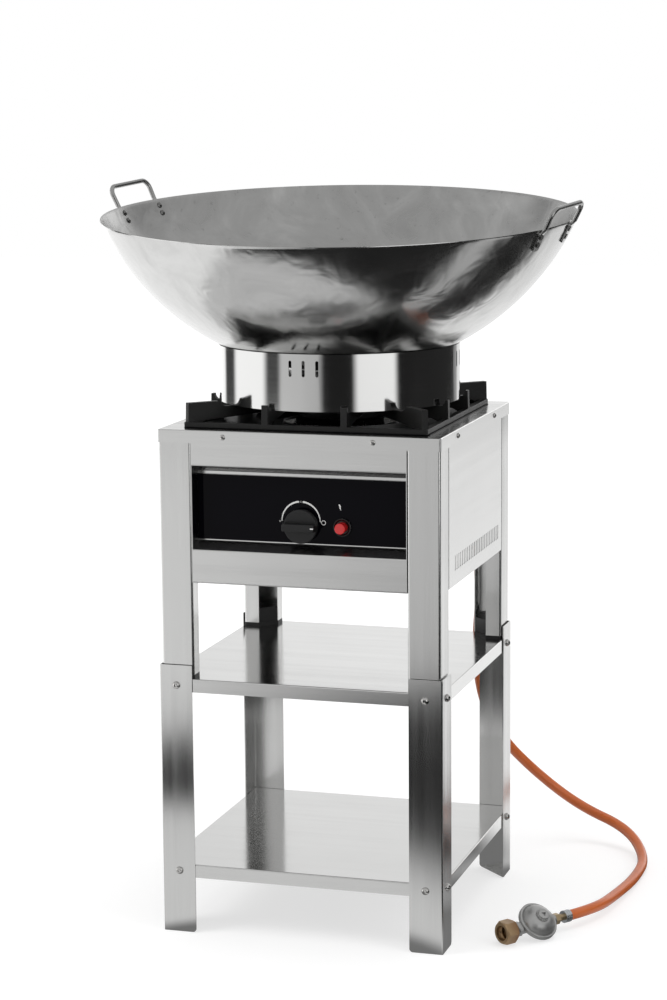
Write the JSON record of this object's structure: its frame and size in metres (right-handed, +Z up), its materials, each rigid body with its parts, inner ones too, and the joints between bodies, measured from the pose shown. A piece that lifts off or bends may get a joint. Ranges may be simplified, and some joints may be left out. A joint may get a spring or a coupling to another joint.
{
  "type": "gas wok burner on a two-shelf stand",
  "caption": "Stainless gas stool burner bolted on a two-shelf stand, with cast iron pan support, wok ring, riveted wok, control panel, orange hose and cylinder regulator.",
  "frame": {"origin": "middle of the stool's square plan, on the floor", "axes": "+Z up, -Y to the front with the controls, +X to the right seen from the front"},
  "size_m": [0.7554, 0.7115, 1.0377],
  "materials": {
    "brushed_stainless": "brushed sheet, fine vertical or lengthwise grain",
    "ring_stainless": "rolled band, near mirror",
    "zinc_plate": "zinc plated sheet",
    "plated_steel": "bright plated fasteners",
    "rivet_steel": "turned, slightly dull",
    "black_nylon": "moulded, matt",
    "black_glass": "black glass, polished, with white print",
    "black_plastic": "moulded, satin",
    "bezel_plastic": "moulded, glossy",
    "red_plastic": "moulded, glossy",
    "brass": "machined",
    "nut_brass": "forged and dulled",
    "cast_iron": "cast, black matt enamel",
    "black_enamel": "black enamel on sheet",
    "white_ceramic": "fired, unglazed",
    "lead_silicone": "silicone sleeve",
    "copper": "drawn capillary",
    "aluminium_tube": "drawn tube",
    "zinc_ferrule": "zinc plated sleeve",
    "orange_rubber": "smooth extruded rubber",
    "zinc_casting": "die cast and tumbled",
    "wok_steel": "spun carbon steel, fine ring marks",
    "handle_steel": "forged rod, satin"
  },
  "bodies": {
    "station": {"air_shutter": "zinc_plate", "back_panel": "brushed_stainless", "burner_body": "cast_iron", "burner_bridge": "zinc_plate", "burner_cap": "black_enamel", "burner_head": "cast_iron", "control_glass": "black_glass", "cooker_leg_back_left": "brushed_stainless", "cooker_leg_back_right": "brushed_stainless", "cooker_leg_front_left": "brushed_stainless", "cooker_leg_front_right": "brushed_stainless", "drip_tray": "black_enamel", "front_fascia": "brushed_stainless", "gas_hose": "orange_rubber", "gas_jet": "brass", "gas_rail": "aluminium_tube", "gas_valve": "brass", "hose_union": "brass", "igniter_barrel": "black_nylon", "igniter_bezel": "bezel_plastic", "igniter_nut": "plated_steel", "inlet_elbow": "brass", "inlet_nut": "brass", "left_side_panel": "brushed_stainless", "leg_feet": "black_nylon", "lower_ferrule": "zinc_ferrule", "lower_shelf": "brushed_stainless", "regulator_body": "zinc_casting", "regulator_cover": "zinc_casting", "regulator_nipple": "brass", "regulator_plug": "zinc_casting", "regulator_tail": "brass", "right_side_panel": "brushed_stainless", "rim_screws": "plated_steel", "shelf_bolts": "plated_steel", "shelf_nuts": "plated_steel", "spark_electrode": "white_ceramic", "spark_lead": "lead_silicone", "spark_pin": "plated_steel", "stand_leg_back_left": "brushed_stainless", "stand_leg_back_right": "brushed_stainless", "stand_leg_front_left": "brushed_stainless", "stand_leg_front_right": "brushed_stainless", "thermocouple": "plated_steel", "thermocouple_tube": "copper", "top_plate": "brushed_stainless", "upper_ferrule": "zinc_ferrule", "upper_shelf": "brushed_stainless"},
    "knob": {"knob": "black_plastic", "valve_stem": "brass"},
    "spindle": {"valve_spring_cup": "plated_steel"},
    "igniter": {"igniter_button": "red_plastic"},
    "pan_support": {"pan_support": "cast_iron"},
    "ring": {"wok_ring": "ring_stainless"},
    "wok": {"wok_pan": "wok_steel", "wok_handle_left": "handle_steel", "wok_handle_right": "handle_steel", "wok_rivets": "rivet_steel"},
    "cylinder_nut": {"regulator_nut": "nut_brass"}
  },
  "joints": [
    {"name": "knob_push", "type": "slide", "parent": "station", "child": "spindle", "axis": [0, 1, 0], "range_m": [0, 0.003], "stiffness_N_per_m": 1500, "springref_m": -0.003},
    {"name": "knob_turn", "type": "hinge", "parent": "spindle", "child": "knob", "pos_m": [-0.001, -0.185, 0.582], "axis": [0, -1, 0], "range_deg": [0, 180]},
    {"name": "igniter_push", "type": "slide", "parent": "station", "child": "igniter", "axis": [0, 1, 0], "range_m": [0, 0.005], "stiffness_N_per_m": 1500, "springref_m": -0.003},
    {"name": "support_lift", "type": "slide", "parent": "station", "child": "pan_support", "axis": [0, 0, 1], "range_m": [0, 0.12]},
    {"name": "ring_lift", "type": "slide", "parent": "pan_support", "child": "ring", "axis": [0, 0, 1], "range_m": [0, 0.12]},
    {"name": "wok_lift", "type": "slide", "parent": "ring", "child": "wok", "axis": [0, 0, 1], "range_m": [0, 0.15]},
    {"name": "cylinder_nut_turn", "type": "hinge", "parent": "station", "child": "cylinder_nut", "pos_m": [0.2762, -0.1349, 0.0176], "axis": [-0.5878, -0.809, 0], "continuous": true}
  ]
}
